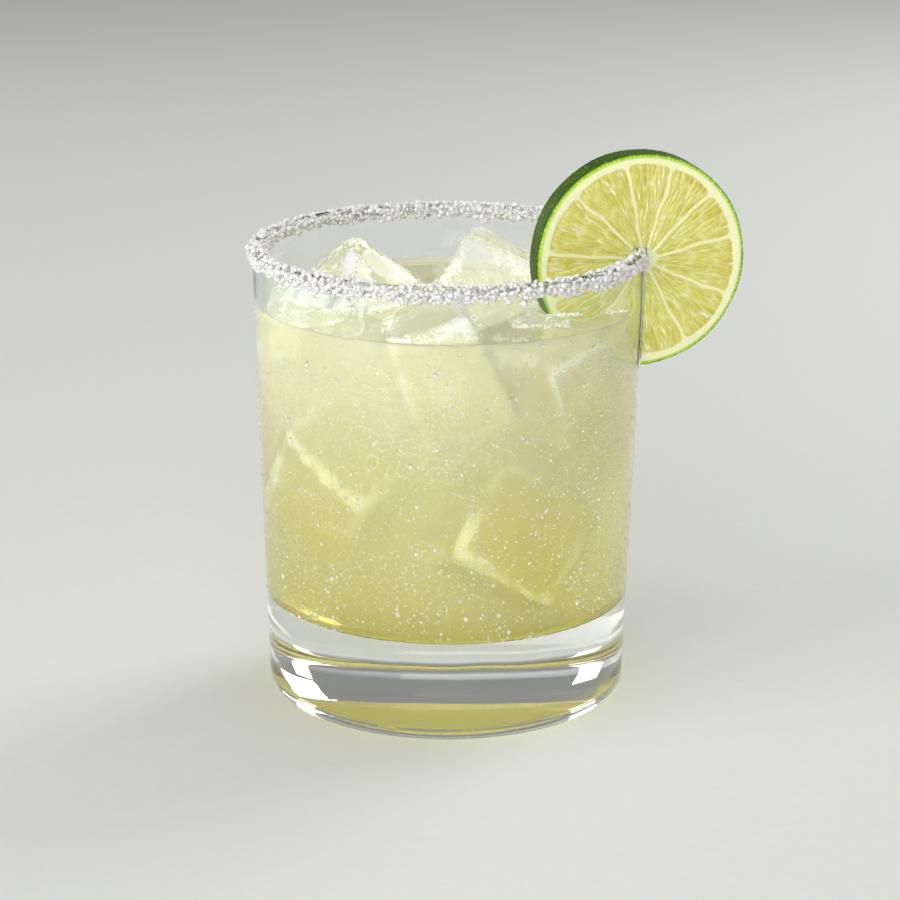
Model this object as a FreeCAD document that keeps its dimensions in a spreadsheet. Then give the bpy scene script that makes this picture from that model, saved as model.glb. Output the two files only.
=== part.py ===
"""A margarita in its rocks glass: heavy-based tumbler, drink, ice, lime wheel on the lip and a salted rim.

The origin is the centre of the foot on the table, +Z points up, and all sizes are in millimetres.
The lime wheel sits on the +X side of the lip. The drink is cut round the ice and the lime, and each ice
cube is trimmed by the cavity, the lime and the cubes before it, so that every fit follows the sheet.
"""
import FreeCAD, Part
import math
import os
import Sketcher

DRIVING_SIZES = {
    # tumbler, pressed glass with a thick base
    "rim_radius": 42.0,          # outside of the lip
    "base_radius": 38.8,         # where the outside of the side would meet the table
    "glass_height": 99.5,
    "wall": 2.0,
    "lip_flat": 0.06,            # left between the two roundings of the lip
    "floor_height": 21.8,        # table to the inside floor
    "heel_radius": 4.0,          # outside rounding from the side to the foot
    "corner_radius": 3.0,        # inside rounding from the side to the floor
    "foot_width": 3.8,           # the flat ring that stands on the table, inside the heel
    "punt_depth": 1.6,           # shallow hollow pressed into the underside, inside the foot
    "punt_round": 1.2,
    "punt_ledge": 0.5,           # level ring between that rounding and the dome
    "punt_rise": 2.2,            # how far the hollow's roof domes up in the middle
    # drink
    "headroom": 13.2,            # top of the lip down to the surface
    "wet_gap": 0.1,              # drink to glass
    "melt_gap": 0.1,             # ice to drink, glass, lime and other ice
    # ice, cast in a tray whose sides draw in
    "ice_draft": 1.0,            # each side's draw over the length of a cube
    "ice_round": 3.0,            # melted edges
    # lime wheel
    "lime_radius": 23.0,
    "lime_thickness": 6.5,
    "lime_edge": 0.6,            # softened corner of the rind
    "lime_drop": 2.5,            # the wheel's centre below the top of the lip
    "lime_inward": 0.8,          # the wheel's centre inside the middle of the wall
    "lime_azimuth": -3.0,        # where on the rim it sits, in degrees from +X
    "lime_turn": 14.0,           # degrees that its front face is turned towards +X
    "slot_gap": 0.4,             # slit to wall, each side
    "seat_gap": 0.2,             # top of the slit to the top of the lip
    "lime_gap": 0.1,             # lime to drink
    # salt crust
    "salt_gap": 0.15,            # crust to glass
    "salt_thickness": 1.1,       # how far the crystals stand off the side
    "salt_top": 0.7,             # how far they stand above the lip
    "salt_drop_outside": 4.6,    # how far the crust reaches down
    "salt_drop_inside": 4.2,
    "salt_clear": 0.8,           # crust to lime
}

# Each cube has its width, length (between the large and the small end) and depth, the place of its centre
# (across, along and how far under the surface), and its yaw, pitch and roll in degrees.
ICE_CUBES = {
    "ice_left": ((29.0, 25.0, 26.0), (-19.0, 6.2, 6.7), (18.0, 37.0, 126.5)),
    "ice_back": ((28.0, 27.0, 19.0), (10.4, 22.5, 5.6), (-10.0, 26.0, 87.0)),
    "ice_front": ((21.0, 26.0, 24.0), (-0.5, -22.8, 9.2), (4.0, -21.0, 91.0)),
    "ice_wall": ((19.0, 18.0, 17.0), (-28.0, -11.5, 2.4), (35.0, 20.0, 75.0)),
    "ice_lime": ((22.0, 21.0, 20.0), (20.5, -20.0, 11.4), (-28.0, 14.0, 110.0)),
}

SIZES = dict(DRIVING_SIZES)
for cube, (extents, centre, _turns) in ICE_CUBES.items():
    SIZES.update(zip((f"{cube}_width", f"{cube}_length", f"{cube}_depth"), extents))
    SIZES.update(zip((f"{cube}_across", f"{cube}_along", f"{cube}_under"), centre))

doc = FreeCAD.newDocument("margarita")
sheet = doc.addObject("Spreadsheet::Sheet", "sizes")
for row, (alias, value) in enumerate(SIZES.items(), start=1):
    sheet.set(f"A{row}", alias)
    sheet.set(f"B{row}", str(value))
    sheet.setAlias(f"B{row}", alias)
doc.recompute()

# Formulas over the sheet, where # stands before each alias. The side leans out evenly from base_radius at
# the table to rim_radius at the lip, and the cavity is one wall inside it.
LEAN = "((#rim_radius - #base_radius) / #glass_height)"
SIDE_AT_FLOOR = f"(#base_radius + {LEAN} * #floor_height)"
SIDE_AT_LEVEL = f"(#rim_radius - {LEAN} * #headroom)"
LEVEL = "(#glass_height - #headroom)"
PUNT_RADIUS = "(#base_radius - #heel_radius - #foot_width)"
DOME_REACH = f"({PUNT_RADIUS} - #punt_round - #punt_ledge)"
DOME_RADIUS = f"(({DOME_REACH} ^ 2 + #punt_rise ^ 2) / (2 * #punt_rise))"
LIME_REACH = "(#rim_radius - #wall / 2 - #lime_inward)"


def size(alias):
    return float(sheet.get(alias))


def bind(thing, formulas):
    """Ties each property of thing, or constraint of a sketch, to its formula over the sheet."""
    for path, formula in formulas.items():
        thing.setExpression(path, formula.replace("#", "sizes."))


def part_of(kind, name, formulas, **links):
    """Adds a Part object with its links and its bound sizes."""
    thing = doc.addObject(kind, name)
    for link, target in links.items():
        setattr(thing, link, target)
    bind(thing, formulas)
    return thing


def outline(body, corners):
    """A closed sketch on the body's XZ plane through corners, each given as (radius, height) formulas."""
    sketch = body.newObject("Sketcher::SketchObject", body.Name + "_outline")
    plane = next(feature for feature in body.Origin.OriginFeatures if feature.Role == "XZ_Plane")
    sketch.AttachmentSupport = [(plane, "")]
    sketch.MapMode = "FlatFace"
    count = len(corners)
    rough = [FreeCAD.Vector(40.0 + 10.0 * math.sin(turn), 40.0 - 10.0 * math.cos(turn), 0.0)
             for turn in (2.0 * math.pi * step / count for step in range(count))]
    for step, start in enumerate(rough):
        sketch.addGeometry(Part.LineSegment(start, rough[(step + 1) % count]), False)
    for step in range(count):
        sketch.addConstraint(Sketcher.Constraint("Coincident", step, 2, (step + 1) % count, 1))
    for step, (radius, height) in enumerate(corners):
        for kind, axis, formula in (("DistanceX", -2, radius), ("DistanceY", -1, height)):
            if formula == "0":
                sketch.addConstraint(Sketcher.Constraint("PointOnObject", step, 1, axis))
                continue
            index = sketch.addConstraint(Sketcher.Constraint(kind, -1, 1, step, 1, 40.0))
            label = f"{kind}_{step}"
            sketch.renameConstraint(index, label)
            bind(sketch, {f"Constraints.{label}": formula})
    return sketch


def turned(name, corners):
    """A body made by revolving an outline about Z."""
    body = doc.addObject("PartDesign::Body", name)
    sketch = outline(body, corners)
    turn = body.newObject("PartDesign::Revolution", name + "_turn")
    turn.Profile = sketch
    turn.ReferenceAxis = (sketch, ["V_Axis"])
    turn.Angle = 360.0
    doc.recompute()
    return body


def circles_at(shape, radius, height):
    """The names of a turned shape's round edges of one radius at one height."""
    return [f"Edge{number}" for number, edge in enumerate(shape.Edges, start=1)
            if isinstance(edge.Curve, Part.Circle)
            and abs(edge.Curve.Radius - radius) < 0.01 and abs(edge.Curve.Center.z - height) < 0.01]


def round_off(body, name, radius, height, formula):
    """Rounds the body's edge that runs round at this radius and height."""
    base = body.Tip
    fillet = body.newObject("PartDesign::Fillet", name)
    fillet.Base = (base, circles_at(base.Shape, radius, height))
    bind(fillet, {"Radius": formula})
    doc.recompute()


def side_radius(height):
    """The outside radius of the glass's side."""
    return size("base_radius") + (size("rim_radius") - size("base_radius")) * height / size("glass_height")


def make_glass():
    """The tumbler: outline turned about Z, its edges rounded, then the hollow underneath domed."""
    tumbler = turned("tumbler", [
        ("0", "#punt_depth"),
        (PUNT_RADIUS, "#punt_depth"),
        (PUNT_RADIUS, "0"),
        ("#base_radius", "0"),
        ("#rim_radius", "#glass_height"),
        ("#rim_radius - #wall", "#glass_height"),
        (f"{SIDE_AT_FLOOR} - #wall", "#floor_height"),
        ("0", "#floor_height"),
    ])
    rim, height, floor = size("rim_radius"), size("glass_height"), size("floor_height")
    half_lip = "(#wall - #lip_flat) / 2"
    round_off(tumbler, "lip_outside", rim, height, half_lip)
    round_off(tumbler, "lip_inside", rim - size("wall"), height, half_lip)
    round_off(tumbler, "heel", size("base_radius"), 0.0, "#heel_radius")
    round_off(tumbler, "inside_corner", side_radius(floor) - size("wall"), floor, "#corner_radius")
    punt = size("base_radius") - size("heel_radius") - size("foot_width")
    round_off(tumbler, "punt_shoulder", punt, size("punt_depth"), "#punt_round")
    # The dome is the cap of a large ball whose top stands punt_rise above the level ring.
    ball = part_of("Part::Sphere", "punt_ball", {
        "Radius": DOME_RADIUS, ".Placement.Base.z": f"#punt_depth + #punt_rise - {DOME_RADIUS}"})
    well = part_of("Part::Cylinder", "punt_well", {
        "Radius": DOME_REACH, "Height": "#punt_depth + 2 * #punt_rise"})
    dome = part_of("Part::Common", "punt_dome", {}, Base=ball, Tool=well)
    return part_of("Part::Cut", "glass", {}, Base=tumbler, Tool=dome)


def make_pool():
    """The space that the drink fills, before the ice and the lime are taken out of it."""
    pool = turned("pool", [
        ("0", "#floor_height + #wet_gap"),
        (f"{SIDE_AT_FLOOR} + {LEAN} * #wet_gap - #wall - #wet_gap", "#floor_height + #wet_gap"),
        (f"{SIDE_AT_LEVEL} - #wall - #wet_gap", LEVEL),
        ("0", LEVEL),
    ])
    bottom = size("floor_height") + size("wet_gap")
    round_off(pool, "pool_corner", side_radius(bottom) - size("wall") - size("wet_gap"), bottom,
              "#corner_radius")
    return pool


def cone_on_axis(name, inset):
    """A cone that follows the outside of the glass, moved in by a formula, from the table to the lip."""
    return part_of("Part::Cone", name, {
        "Radius1": f"#base_radius - {inset}",
        "Radius2": f"#rim_radius - {inset}",
        "Height": "#glass_height",
    })


def lime_body(name, grow):
    """The wheel as a disc standing on edge on the rim, larger all round by the formula grow."""
    body = doc.addObject("PartDesign::Body", name)
    disc = body.newObject("PartDesign::AdditiveCylinder", name + "_disc")
    bind(disc, {"Radius": f"#lime_radius + {grow}", "Height": f"#lime_thickness + 2 * ({grow})"})
    doc.recompute()
    edge = body.newObject("PartDesign::Fillet", name + "_edge")
    edge.Base = (disc, [""])
    edge.UseAllEdges = True
    bind(edge, {"Radius": "#lime_edge"})
    # The disc's own axis lies level and looks out of the front face, so the body starts half a
    # thickness behind the rim.
    turn = math.radians(size("lime_turn"))
    faces = FreeCAD.Vector(math.sin(turn), -math.cos(turn), 0.0)
    body.Placement.Rotation = FreeCAD.Rotation(FreeCAD.Vector(0, 0, 1), faces)
    half = f"(#lime_thickness / 2 + {grow})"
    bind(body, {
        ".Placement.Base.x": f"{LIME_REACH} * cos(#lime_azimuth) - {half} * sin(#lime_turn)",
        ".Placement.Base.y": f"{LIME_REACH} * sin(#lime_azimuth) + {half} * cos(#lime_turn)",
        ".Placement.Base.z": "#glass_height - #lime_drop",
    })
    return body


def make_lime():
    """The wheel with the slit that takes the wall, cut from the seat on the lip down through the rind."""
    disc = lime_body("lime_disc", "0")
    outside = cone_on_axis("slit_outside", "(-#slot_gap)")
    inside = cone_on_axis("slit_inside", "(#wall + #slot_gap)")
    for cone in (outside, inside):
        bind(cone, {"Height": "#glass_height + #seat_gap"})
    slit = part_of("Part::Cut", "slit", {}, Base=outside, Tool=inside)
    return part_of("Part::Cut", "lime_wheel", {}, Base=disc, Tool=slit)


def ice_body(name, turns, grow):
    """One rounded cube with drawn-in sides, in its place, larger all round by the formula grow."""
    body = doc.addObject("PartDesign::Body", name)
    block = body.newObject("PartDesign::AdditiveWedge", name + "_block")
    cube = name.removesuffix("_room").removesuffix("_cast")
    for axis, extent in (("X", "width"), ("Z", "depth")):
        half = f"(#{cube}_{extent} / 2 + {grow})"
        bind(block, {
            f"{axis}min": f"-{half}",
            f"{axis}max": half,
            f"{axis}2min": f"-{half} + #ice_draft",
            f"{axis}2max": f"{half} - #ice_draft",
        })
    half = f"(#{cube}_length / 2 + {grow})"
    bind(block, {"Ymin": f"-{half}", "Ymax": half})
    doc.recompute()
    melted = body.newObject("PartDesign::Fillet", name + "_melted")
    melted.Base = (block, [""])
    melted.UseAllEdges = True
    bind(melted, {"Radius": "#ice_round"})
    body.Placement.Rotation = FreeCAD.Rotation(*turns)
    bind(body, {
        ".Placement.Base.x": f"#{cube}_across",
        ".Placement.Base.y": f"#{cube}_along",
        ".Placement.Base.z": f"{LEVEL} - #{cube}_under",
    })
    return body


def cut_round(name, base, rooms):
    """What is left of base once each of the rooms is taken out of it, under this name."""
    for step, room in enumerate(rooms, start=1):
        base = part_of("Part::Cut", f"{name}_cut_{step}", {}, Base=base, Tool=room)
    base.Label = name
    return base


def make_ice(lime_room):
    """The cubes that break the surface, each trimmed by the cavity, the lime and the cubes before it.

    Returns the finished cubes and the rooms that they need in the drink.
    """
    cubes, rooms = [], []
    for name, (_extents, _centre, turns) in ICE_CUBES.items():
        cast = ice_body(name + "_cast", turns, "0")
        cavity = cone_on_axis(name + "_cavity", "(#wall + #melt_gap)")
        held = part_of("Part::Common", name + "_held", {}, Base=cast, Tool=cavity)
        cubes.append(cut_round(name, held, [lime_room, *rooms]))
        rooms.append(ice_body(name + "_room", turns, "#melt_gap"))
    return cubes, rooms


def crust_outline(angle):
    """The crust's section at one angle round the rim: an uneven hook over the lip, as 3-D points."""
    rim, wall, height = size("rim_radius"), size("wall"), size("glass_height")
    gap, thick = size("salt_gap"), size("salt_thickness")
    lean = (rim - size("base_radius")) / height
    clump = 0.5 + 0.2 * math.sin(7 * angle + 0.4) + 0.3 * math.sin(23 * angle + 1.9)
    drip = 0.5 + 0.25 * math.sin(11 * angle + 2.2) + 0.25 * math.sin(29 * angle)
    stand = thick * (0.7 + 0.3 * clump)
    above = size("salt_top") * (0.6 + 0.4 * drip)
    low_outside = size("salt_drop_outside") * (0.7 + 0.3 * drip)
    low_inside = size("salt_drop_inside") * (0.7 + 0.3 * clump)
    section = [
        (rim + gap - lean * low_outside, -low_outside),
        (rim + gap + stand * 0.7 - lean * low_outside, 0.4 - low_outside),
        (rim + gap + stand, -low_outside / 2),
        (rim + gap + stand * 0.8, -wall / 2),
        (rim - wall / 2, gap + above),
        (rim - wall - gap - stand * 0.8, -wall / 2),
        (rim - wall - gap - stand, -low_inside / 2),
        (rim - wall - gap - stand * 0.7 - lean * low_inside, 0.4 - low_inside),
        (rim - wall - gap - lean * low_inside, -low_inside),
        (rim - wall - gap - lean * wall, -wall),
    ]
    hook = wall / 2 + gap
    for degrees in (180, 135, 90, 45, 0):
        turn = math.radians(degrees)
        section.append((rim - wall / 2 + hook * math.cos(turn), hook * math.sin(turn) - wall / 2))
    return [FreeCAD.Vector(radius * math.cos(angle), radius * math.sin(angle), height + above_lip)
            for radius, above_lip in section]


def make_salt():
    """The crust of salt crystals, lofted along the rim from one face of the lime wheel round to the other."""
    rim, turn = size("rim_radius"), math.radians(size("lime_turn"))
    half_cut = size("lime_thickness") / 2 / math.cos(turn) + size("salt_clear")
    slant = (size("wall") + 2 * size("salt_thickness")) / 2 * math.tan(turn)
    half_break = math.asin((half_cut + slant) / (rim - size("wall") - size("salt_thickness")))
    start = math.radians(size("lime_azimuth")) + half_break
    sweep = 2.0 * math.pi - 2.0 * half_break
    step_length = 2.4
    steps = math.ceil(sweep * rim / step_length)
    sections = []
    for step in range(steps + 1):
        points = crust_outline(start + sweep * step / steps)
        sections.append(Part.makePolygon(points + points[:1]))
    salt = doc.addObject("Part::Feature", "salt_rim")
    salt.Shape = Part.makeLoft(sections, True, True)
    return salt


glass = make_glass()
pool = make_pool()
lime = make_lime()
lime_room = lime_body("lime_room", "#lime_gap")
ice, ice_rooms = make_ice(lime_room)
drink = cut_round("drink", pool, [lime_room, *ice_rooms])
salt = make_salt()
doc.recompute()

for thing in doc.Objects:
    if {"Invalid", "Error"} & set(thing.State):
        raise RuntimeError(f"{thing.Name} did not build: {thing.State}")

os.makedirs("parts", exist_ok=True)
pieces = [glass, drink, *ice, lime, salt]
for piece in pieces:
    shape = piece.Shape
    if shape.isNull() or not shape.isValid() or len(shape.Solids) != 1:
        raise RuntimeError(f"{piece.Label} is not one sound solid: {len(shape.Solids)}")
for piece in pieces:
    piece.Shape.exportStep(f"parts/{piece.Label}.step")
    print(f"{piece.Label:12s} {piece.Shape.Volume / 1000:8.2f} ml  {piece.Shape.BoundBox}")
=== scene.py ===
"""A margarita in its salted rocks glass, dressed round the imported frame. Lengths are metres, +Z is up."""
import math

import bmesh
import bpy
import numpy as np
from mathutils import Euler, Matrix, Vector, noise


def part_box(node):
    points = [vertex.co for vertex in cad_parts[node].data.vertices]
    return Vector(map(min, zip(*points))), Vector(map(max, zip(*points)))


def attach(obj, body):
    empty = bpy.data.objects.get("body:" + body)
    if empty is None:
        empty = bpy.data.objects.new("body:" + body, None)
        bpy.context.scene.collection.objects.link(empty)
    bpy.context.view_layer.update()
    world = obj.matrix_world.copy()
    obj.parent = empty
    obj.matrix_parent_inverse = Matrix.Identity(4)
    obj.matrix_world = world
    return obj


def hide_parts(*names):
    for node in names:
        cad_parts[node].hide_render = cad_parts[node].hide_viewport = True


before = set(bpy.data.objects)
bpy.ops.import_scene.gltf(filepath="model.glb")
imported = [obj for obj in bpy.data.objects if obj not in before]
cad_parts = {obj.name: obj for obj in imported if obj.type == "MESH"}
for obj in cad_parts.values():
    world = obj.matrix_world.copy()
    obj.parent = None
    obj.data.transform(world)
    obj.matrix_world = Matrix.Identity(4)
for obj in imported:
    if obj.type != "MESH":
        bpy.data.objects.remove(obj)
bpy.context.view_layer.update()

# ---------------------------------------------------------------------------------------------------------
# Tumbler: a heavy-based rocks glass, pressed from soda-lime glass and fire polished so that every edge is
# rounded. The frame's own solid has the true section, so it stays and gets its finish here. The cold drink
# has fogged the wall beside it with dew too fine to be drops of its own.
# ---------------------------------------------------------------------------------------------------------
MM = 0.001
_, GLASS_HIGH = (Vector(corner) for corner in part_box("glass"))
RIM_RADIUS = GLASS_HIGH.x
GLASS_HEIGHT = GLASS_HIGH.z
BASE_RADIUS = 38.8 * MM
WALL = 2.0 * MM
LEVEL = 86.3 * MM
FLOOR = 21.8 * MM


def side_radius(height):
    """The outside radius of the tumbler at a height."""
    return BASE_RADIUS + (RIM_RADIUS - BASE_RADIUS) * height / GLASS_HEIGHT


def cavity_radius(height):
    """The inside radius of the tumbler at a height."""
    return side_radius(height) - WALL


def linear(code):
    """An sRGB hex value as the linear colour that the shaders take."""
    channels = [int(code[at:at + 2], 16) / 255.0 for at in (1, 3, 5)]
    return [c / 12.92 if c <= 0.04045 else ((c + 0.055) / 1.055) ** 2.4 for c in channels] + [1.0]


def new_material(name, settings):
    """A material with one Principled shader, and that shader."""
    material = bpy.data.materials.new(name)
    material.use_nodes = True
    shader = material.node_tree.nodes["Principled BSDF"]
    for socket, value in settings.items():
        shader.inputs[socket].default_value = value
    return material, shader


def add_node(material, kind, settings=None, links=None):
    """Adds one node to a material, with its settings and what feeds each of its sockets."""
    node = material.node_tree.nodes.new(kind)
    for name, value in (settings or {}).items():
        if isinstance(name, int) or name in node.inputs:
            node.inputs[name].default_value = value
        else:
            setattr(node, name, value)
    for name, source in (links or {}).items():
        material.node_tree.links.new(source, node.inputs[name])
    return node


def lit_through(material, tint="#FFFFFF"):
    """Lets the light of lamps pass a clear shell unbent, so that what the shell holds is lit."""
    nodes = material.node_tree.nodes
    path = add_node(material, "ShaderNodeLightPath")
    clear = add_node(material, "ShaderNodeBsdfTransparent", {"Color": linear(tint)})
    choice = add_node(material, "ShaderNodeMixShader", {}, {
        0: path.outputs["Is Shadow Ray"], 1: nodes["Principled BSDF"].outputs[0], 2: clear.outputs[0]})
    material.node_tree.links.new(choice.outputs[0], nodes["Material Output"].inputs["Surface"])


def dress(piece, material, slot, *nodes):
    """Gives a piece its only material and its body, and hides the frame's nodes it stands for. The slot
    argument is not used.
    """
    piece.data.materials.clear()
    piece.data.materials.append(material)
    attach(piece, "root")
    if nodes:
        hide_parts(*nodes)


# Soda-lime glass: water clear and mirror smooth, with a long soft ripple left by the flame. Beside the cold
# drink its outside is pricked with fine dew and dulled by patches of mist.
DEW = 0.55 * MM
DEW_HEIGHT = 0.10 * MM
RIPPLE = 14 * MM
RIPPLE_HEIGHT = 0.4 * MM
MIST = 6 * MM
FOG_STARTS = 9 * MM
FOG_ENDS = 6 * MM
OUTER_SKIN = 0.7 * WALL
glass_finish, shader = new_material("soda_lime_glass_fire_polished", {
    "Base Color": linear("#FCFEFC"), "Transmission Weight": 1.0, "IOR": 1.51})
place = add_node(glass_finish, "ShaderNodeTexCoord").outputs["Object"]
apart = add_node(glass_finish, "ShaderNodeSeparateXYZ", {}, {0: place})
flat = add_node(glass_finish, "ShaderNodeVectorMath", {"operation": "MULTIPLY", 1: (1, 1, 0)}, {0: place})
away = add_node(glass_finish, "ShaderNodeVectorMath", {"operation": "LENGTH"}, {0: flat.outputs[0]})
lean = (RIM_RADIUS - BASE_RADIUS) / GLASS_HEIGHT
wall_line = add_node(glass_finish, "ShaderNodeMath", {
    "operation": "MULTIPLY_ADD", 1: lean, 2: BASE_RADIUS - OUTER_SKIN}, {0: apart.outputs["Z"]})
outside = add_node(glass_finish, "ShaderNodeMath", {"operation": "GREATER_THAN"}, {
    0: away.outputs["Value"], 1: wall_line.outputs[0]})
above_base = add_node(glass_finish, "ShaderNodeMapRange", {
    "From Min": FLOOR, "From Max": FLOOR + FOG_STARTS}, {"Value": apart.outputs["Z"]})
below_level = add_node(glass_finish, "ShaderNodeMapRange", {
    "From Min": LEVEL, "From Max": LEVEL - FOG_ENDS}, {"Value": apart.outputs["Z"]})
cold = add_node(glass_finish, "ShaderNodeMath", {"operation": "MULTIPLY"}, {
    0: above_base.outputs[0], 1: below_level.outputs[0]})
fog = add_node(glass_finish, "ShaderNodeMath", {"operation": "MULTIPLY"}, {
    0: cold.outputs[0], 1: outside.outputs[0]})
dew_cells = add_node(glass_finish, "ShaderNodeTexVoronoi", {"Scale": 1 / DEW}, {"Vector": place})
dew_domes = add_node(glass_finish, "ShaderNodeMapRange", {
    "From Min": 0.42, "From Max": 0.10}, {"Value": dew_cells.outputs["Distance"]})
dew = add_node(glass_finish, "ShaderNodeMath", {"operation": "MULTIPLY"}, {
    0: dew_domes.outputs[0], 1: fog.outputs[0]})
dew_bump = add_node(glass_finish, "ShaderNodeBump", {"Strength": 0.8, "Distance": DEW_HEIGHT}, {
    "Height": dew.outputs[0]})
ripple = add_node(glass_finish, "ShaderNodeTexNoise", {"Scale": 1 / RIPPLE, "Detail": 1.0}, {"Vector": place})
ripple_bump = add_node(glass_finish, "ShaderNodeBump", {"Strength": 0.25, "Distance": RIPPLE_HEIGHT}, {
    "Height": ripple.outputs["Fac"], "Normal": dew_bump.outputs[0]})
mist_patches = add_node(glass_finish, "ShaderNodeTexNoise", {"Scale": 1 / MIST, "Detail": 4.0}, {
    "Vector": place})
mist_roughness = add_node(glass_finish, "ShaderNodeMapRange", {
    "From Min": 0.35, "From Max": 0.75, "To Max": 0.10}, {"Value": mist_patches.outputs["Fac"]})
mist = add_node(glass_finish, "ShaderNodeMath", {"operation": "MULTIPLY"}, {
    0: mist_roughness.outputs[0], 1: fog.outputs[0]})
glass_finish.node_tree.links.new(mist.outputs[0], shader.inputs["Roughness"])
glass_finish.node_tree.links.new(ripple_bump.outputs[0], shader.inputs["Normal"])
lit_through(glass_finish, "#F4F8F4")
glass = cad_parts["glass"]
glass.data.materials.clear()
glass.data.materials.append(glass_finish)

# ---------------------------------------------------------------------------------------------------------
# Ice: cubes from a tray of tap water, half melted. Five break the surface and are the frame's own solids with
# waved faces; three lie below it, held by the others. Clear inside, they keep a frosty skin along the edges.
# ---------------------------------------------------------------------------------------------------------
ICE_NODES = ["ice_left", "ice_back", "ice_front", "ice_wall", "ice_lime"]
SUNK_ICE = {
    "sunk_ice_right": ((20, 19, 19.5), (20.5, 2, 60), (12, 20, -18)),
    "sunk_ice_left": ((25, 22, 25), (-21.5, -13, 51), (24, 32, -28)),
    "sunk_ice_low": ((27, 24, 25), (13, -20.5, 42), (-16, 31, 12)),
}
CUBE_ROUND = 3.0 * MM
ICE_VOXEL = 0.7 * MM
WALL_FILM = 0.4 * MM
# Melting wears each cube in long waves and small dimples and chips its edges: length and height, in mm.
WAVES = (10.0, 0.9)
DIMPLES = (3.6, 0.22)
CHIPS = (2.3, 0.30)
MELTED_BACK = 0.35


def to_object(name, mesh):
    """Puts a bmesh into the scene as a piece with smooth faces."""
    bmesh.ops.recalc_face_normals(mesh, faces=mesh.faces)
    data = bpy.data.meshes.new(name)
    mesh.to_mesh(data)
    mesh.free()
    data.polygons.foreach_set("use_smooth", [True] * len(data.polygons))
    piece = bpy.data.objects.new(name, data)
    bpy.context.scene.collection.objects.link(piece)
    return piece


def applied(piece):
    """Replaces a piece's mesh by what its modifiers make of it."""
    depsgraph = bpy.context.evaluated_depsgraph_get()
    data = bpy.data.meshes.new_from_object(piece.evaluated_get(depsgraph))
    piece.modifiers.clear()
    piece.data = data


def vertex_places(data, what="co"):
    """The places or normals of a mesh's vertices as an array of rows."""
    values = np.empty(len(data.vertices) * 3)
    data.vertices.foreach_get(what, values)
    return values.reshape(-1, 3)


def store(data, name, values):
    """Keeps one number for each vertex where a material can read it."""
    data.attributes.new(name, "FLOAT", "POINT").data.foreach_set("value", values.astype(np.float32))


def edge_nearness(data, rounds=5):
    """1 where the mesh bends like the rounded edge of a cube, 0 on its faces, spread over a few rings."""
    pairs = np.empty(len(data.edges) * 2, dtype=np.int64)
    data.edges.foreach_get("vertices", pairs)
    pairs = pairs.reshape(-1, 2)
    pairs = np.concatenate([pairs, pairs[:, ::-1]])
    degree = np.bincount(pairs[:, 0], minlength=len(data.vertices))

    def spread(values):
        return np.bincount(pairs[:, 0], weights=values[pairs[:, 1]], minlength=len(values)) / degree

    normals = vertex_places(data, "normal")
    around = np.stack([spread(spread(normals[:, axis])) for axis in range(3)], axis=1)
    bend = 1.0 - np.linalg.norm(around, axis=1)
    for _ in range(rounds):
        bend = spread(bend)
    return np.clip(bend / np.percentile(bend, 96), 0.0, 1.0)


def melted(name, source, seed):
    """An ice cube with waved faces and blunt edges, from a plain solid."""
    piece = bpy.data.objects.new(name, source.copy())
    bpy.context.scene.collection.objects.link(piece)
    remesh = piece.modifiers.new("remesh", "REMESH")
    remesh.mode = "VOXEL"
    remesh.voxel_size = ICE_VOXEL
    smooth = piece.modifiers.new("smooth", "SMOOTH")
    smooth.iterations = 7
    applied(piece)
    data = piece.data
    edge = edge_nearness(data)
    offset = Vector((seed * 7.3, seed * 3.1, seed * 1.7))
    for vertex, nearness in zip(data.vertices, edge):
        at = vertex.co / MM
        wave = noise.noise(at / WAVES[0] + offset) * WAVES[1]
        dimple = noise.noise(at / DIMPLES[0] + offset) * DIMPLES[1]
        chip = abs(noise.noise(at / CHIPS[0] - offset)) * CHIPS[1] * nearness
        vertex.co = vertex.co + vertex.normal * (wave + dimple - chip - MELTED_BACK) * MM
    store(data, "edge", edge)
    data.polygons.foreach_set("use_smooth", [True] * len(data.polygons))
    return piece


def rest_on_wall(data):
    """Melts back whatever of a cube would reach into the wall or the floor of the glass."""
    places = vertex_places(data)
    places[:, 2] = np.maximum(places[:, 2], FLOOR + WALL_FILM)
    away = np.hypot(places[:, 0], places[:, 1])
    room = cavity_radius(places[:, 2]) - WALL_FILM
    places[:, :2] *= np.minimum(1.0, room / np.maximum(away, MM))[:, None]
    data.vertices.foreach_set("co", places.ravel())


# Melting ice: water-smooth and clear, with a white crust of trapped air that breaks up towards the faces.
CRUST = 1.1 * MM
PATCH = 9 * MM
PIT = 0.8 * MM
PIT_DEPTH = 0.12 * MM
ice_finish, shader = new_material("tray_ice_melting", {"IOR": 1.31})
place = add_node(ice_finish, "ShaderNodeTexCoord").outputs["Object"]
edge = add_node(ice_finish, "ShaderNodeAttribute", {"attribute_name": "edge"}).outputs["Fac"]
crust = add_node(ice_finish, "ShaderNodeTexNoise", {
    "Scale": 1 / CRUST, "Detail": 5.0, "Roughness": 0.75}, {"Vector": place})
patches = add_node(ice_finish, "ShaderNodeTexNoise", {"Scale": 1 / PATCH, "Detail": 2.0}, {"Vector": place})
broken = add_node(ice_finish, "ShaderNodeMath", {"operation": "MULTIPLY"}, {
    0: crust.outputs["Fac"], 1: patches.outputs["Fac"]})
reach = add_node(ice_finish, "ShaderNodeMath", {"operation": "MULTIPLY_ADD", 1: 0.17}, {
    0: edge, 2: broken.outputs[0]})
frost = add_node(ice_finish, "ShaderNodeMapRange", {
    "From Min": 0.335, "From Max": 0.42}, {"Value": reach.outputs[0]})
ice_roughness = add_node(ice_finish, "ShaderNodeMapRange", {"To Min": 0.03, "To Max": 0.55}, {
    "Value": frost.outputs[0]})
clearness = add_node(ice_finish, "ShaderNodeMapRange", {"To Min": 0.84, "To Max": 0.12}, {
    "Value": frost.outputs[0]})
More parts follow.
